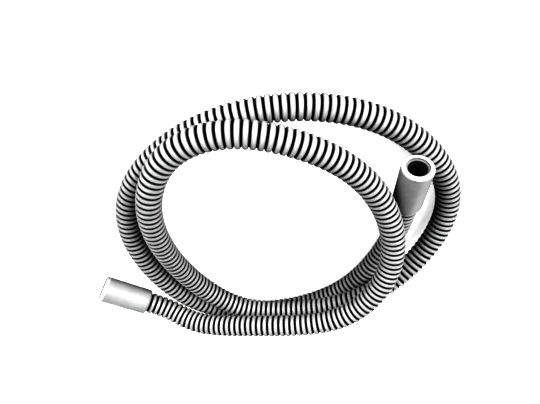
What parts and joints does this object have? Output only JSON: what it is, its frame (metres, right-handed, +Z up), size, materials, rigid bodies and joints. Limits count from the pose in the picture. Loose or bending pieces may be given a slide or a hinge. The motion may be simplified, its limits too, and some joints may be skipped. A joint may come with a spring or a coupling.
{
  "type": "dishwasher upper hose",
  "caption": "Corrugated water hose for a dishwasher, lying in a flat loose coil, with a smooth push-on cuff on each end.",
  "frame": {"origin": "under the middle of the coil, on the surface it lies on", "axes": "+Z up, +X along the coil's longest side towards the mouth of the pump cuff, -Y the way the drain cuff's mouth faces"},
  "size_m": [0.4012, 0.3164, 0.0706],
  "materials": {
    "hose_plastic": "light grey satin polypropylene",
    "pump_cuff_rubber": "mid grey smooth moulded rubber",
    "drain_cuff_rubber": "mid grey smooth moulded rubber"
  },
  "bodies": {
    "root": {"corrugated_hose": "hose_plastic", "pump_cuff": "pump_cuff_rubber", "drain_cuff": "drain_cuff_rubber"}
  },
  "joints": []
}
